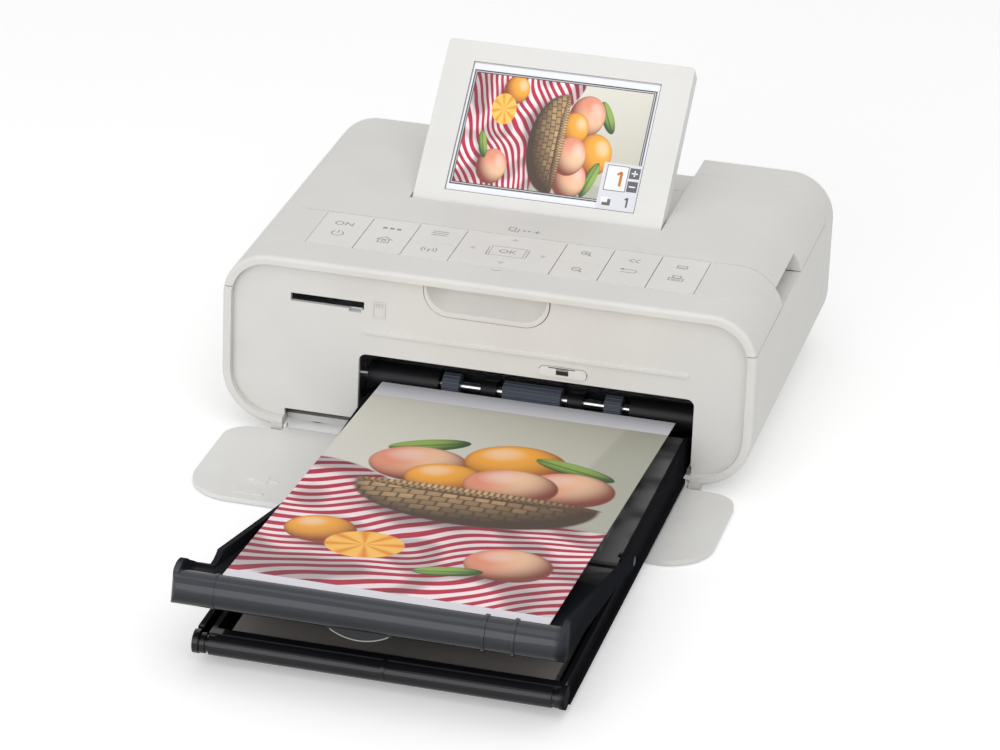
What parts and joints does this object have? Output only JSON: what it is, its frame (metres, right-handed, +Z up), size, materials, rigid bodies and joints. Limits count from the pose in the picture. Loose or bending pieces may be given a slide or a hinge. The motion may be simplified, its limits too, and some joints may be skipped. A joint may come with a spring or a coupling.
{
  "type": "compact photo printer",
  "caption": "Compact dye-film photo printer with a tilting screen, pressing keys, an open paper cassette, a hinged output lid and a folding front cover.",
  "frame": {"origin": "middle of the whole footprint, on the table", "axes": "+X to the right seen from the front, +Y towards the back of the case, +Z up; the cassette points along -Y"},
  "size_m": [0.1806, 0.3132, 0.1052],
  "materials": {
    "case_white": "fine satin",
    "key_white": "fine satin",
    "board_green": "solder mask",
    "display": "glossy",
    "steel": "drawn",
    "tray_black": "high gloss",
    "smoke": "glossy, smoke tinted",
    "paper": "paper",
    "print_gloss": "glossy photo paper",
    "roller_rubber": "matte",
    "gear_acetal": "moulded",
    "pinion_brass": "machined",
    "black_plastic": "moulded",
    "heat_sink": "extruded",
    "cartridge_grey": "moulded",
    "ribbon": "dye film",
    "foot_rubber": "matte"
  },
  "bodies": {
    "housing": {"lower_case": "case_white", "top_shell": "case_white", "front_panel": "case_white", "finger_scoop": "case_white", "cover_catch": "case_white", "rear_panel": "case_white", "control_band": "case_white", "key_board": "board_green", "side_cover_pins": "steel", "front_cover_pins": "steel", "chassis": "steel", "roller_housing": "black_plastic", "drive_motor": "steel", "head_pivot": "steel", "ribbon_cartridge": "cartridge_grey", "ribbon_film": "ribbon", "main_board": "board_green", "card_socket": "steel", "usb_socket": "steel", "power_inlet": "black_plastic", "feet": "foot_rubber", "screws": "steel"},
    "screen": {"lcd_bezel": "case_white", "lcd_back": "case_white", "lcd_module": "display", "lcd_pins": "steel"},
    "side_cover": {"side_cover": "case_white"},
    "front_cover": {"front_cover": "case_white"},
    "cassette": {"cassette_tray": "tray_black", "cassette_cover": "smoke", "lid_pins": "steel", "paper_stack": "paper", "photo_print": "print_gloss"},
    "output_lid": {"output_lid": "smoke"},
    "feed": {"feed_shaft": "steel", "feed_gear": "gear_acetal"},
    "pick": {"pick_shaft": "steel", "pick_rollers": "roller_rubber", "pick_gear": "gear_acetal"},
    "motor_pinion": {"motor_pinion": "pinion_brass"},
    "pinch_roller": {"pinch_roller": "steel"},
    "platen": {"platen_roller": "roller_rubber"},
    "supply_spool": {"supply_spool": "ribbon"},
    "take_up_spool": {"take_up_spool": "ribbon"},
    "head": {"thermal_head": "heat_sink", "head_arm": "steel"},
    "eject_lever": {"eject_lever": "cartridge_grey"},
    "key_power": {"key_power": "key_white"},
    "key_home": {"key_home": "key_white"},
    "key_menu": {"key_menu": "key_white"},
    "key_wireless": {"key_wireless": "key_white"},
    "key_pad": {"key_pad": "key_white"},
    "key_ok": {"key_ok": "key_white"},
    "key_zoom_in": {"key_zoom_in": "key_white"},
    "key_zoom_out": {"key_zoom_out": "key_white"},
    "key_back": {"key_back": "key_white"},
    "key_print": {"key_print": "key_white"}
  },
  "joints": [
    {"name": "screen_tilt", "type": "hinge", "parent": "housing", "child": "screen", "pos_m": [0, 0.0907, 0.05985], "axis": [1, 0, 0], "range_deg": [-43.7, 1.3]},
    {"name": "side_cover_swing", "type": "hinge", "parent": "housing", "child": "side_cover", "pos_m": [0.0849, 0.08105, 0.0124], "axis": [0, 1, 0], "range_deg": [0, 80]},
    {"name": "front_cover_swing", "type": "hinge", "parent": "housing", "child": "front_cover", "pos_m": [0, 0.02295, 0.0018], "axis": [-1, 0, 0], "range_deg": [0, 1.2]},
    {"name": "cassette_slide", "type": "slide", "parent": "housing", "child": "cassette", "axis": [0, -1, 0], "range_m": [0, 0.03]},
    {"name": "output_lid_swing", "type": "hinge", "parent": "cassette", "child": "output_lid", "pos_m": [0, -0.06095, 0.0135], "axis": [1, 0, 0], "range_deg": [0, 12.8]},
    {"name": "feed_spin", "type": "hinge", "parent": "housing", "child": "feed", "pos_m": [0, 0.05162, 0.02115], "axis": [1, 0, 0], "continuous": true},
    {"name": "pick_spin", "type": "hinge", "parent": "housing", "child": "pick", "pos_m": [0, 0.03655, 0.0192], "axis": [1, 0, 0], "continuous": true},
    {"name": "pinion_spin", "type": "hinge", "parent": "housing", "child": "motor_pinion", "pos_m": [0, 0.05162, 0.03395], "axis": [1, 0, 0], "continuous": true},
    {"name": "pinch_spin", "type": "hinge", "parent": "housing", "child": "pinch_roller", "pos_m": [0, 0.05162, 0.026], "axis": [1, 0, 0], "continuous": true},
    {"name": "platen_spin", "type": "hinge", "parent": "housing", "child": "platen", "pos_m": [0, 0.08755, 0.01765], "axis": [1, 0, 0], "continuous": true},
    {"name": "supply_spin", "type": "hinge", "parent": "housing", "child": "supply_spool", "pos_m": [0, 0.06605, 0.0365], "axis": [1, 0, 0], "continuous": true},
    {"name": "take_up_spin", "type": "hinge", "parent": "housing", "child": "take_up_spool", "pos_m": [0, 0.10905, 0.0365], "axis": [1, 0, 0], "continuous": true},
    {"name": "head_lift", "type": "hinge", "parent": "housing", "child": "head", "pos_m": [0, 0.12855, 0.043], "axis": [-1, 0, 0], "range_deg": [0, 5]},
    {"name": "eject_lever_swing", "type": "hinge", "parent": "housing", "child": "eject_lever", "pos_m": [0.0743, 0.12355, 0.03], "axis": [1, 0, 0], "range_deg": [-8, 8]},
    {"name": "key_power_press", "type": "slide", "parent": "housing", "child": "key_power", "axis": [0, 0, -1], "range_m": [0, 0.0005], "stiffness_N_per_m": 500, "springref_m": -0.0005},
    {"name": "key_home_press", "type": "slide", "parent": "housing", "child": "key_home", "axis": [0, 0, -1], "range_m": [0, 0.0005], "stiffness_N_per_m": 500, "springref_m": -0.0005},
    {"name": "key_menu_press", "type": "slide", "parent": "housing", "child": "key_menu", "axis": [0, 0, -1], "range_m": [0, 0.0005], "stiffness_N_per_m": 500, "springref_m": -0.0005},
    {"name": "key_wireless_press", "type": "slide", "parent": "housing", "child": "key_wireless", "axis": [0, 0, -1], "range_m": [0, 0.0005], "stiffness_N_per_m": 500, "springref_m": -0.0005},
    {"name": "key_pad_press", "type": "slide", "parent": "housing", "child": "key_pad", "axis": [0, 0, -1], "range_m": [0, 0.0005], "stiffness_N_per_m": 500, "springref_m": -0.0005},
    {"name": "key_ok_press", "type": "slide", "parent": "housing", "child": "key_ok", "axis": [0, 0, -1], "range_m": [0, 0.0005], "stiffness_N_per_m": 500, "springref_m": -0.0005},
    {"name": "key_zoom_in_press", "type": "slide", "parent": "housing", "child": "key_zoom_in", "axis": [0, 0, -1], "range_m": [0, 0.0005], "stiffness_N_per_m": 500, "springref_m": -0.0005},
    {"name": "key_zoom_out_press", "type": "slide", "parent": "housing", "child": "key_zoom_out", "axis": [0, 0, -1], "range_m": [0, 0.0005], "stiffness_N_per_m": 500, "springref_m": -0.0005},
    {"name": "key_back_press", "type": "slide", "parent": "housing", "child": "key_back", "axis": [0, 0, -1], "range_m": [0, 0.0005], "stiffness_N_per_m": 500, "springref_m": -0.0005},
    {"name": "key_print_press", "type": "slide", "parent": "housing", "child": "key_print", "axis": [0, 0, -1], "range_m": [0, 0.0005], "stiffness_N_per_m": 500, "springref_m": -0.0005}
  ],
  "couplings": [
    {"joint": "pick_spin", "follows": "feed_spin", "ratio": -1.1111},
    {"joint": "pinion_spin", "follows": "feed_spin", "ratio": -1.6667}
  ]
}
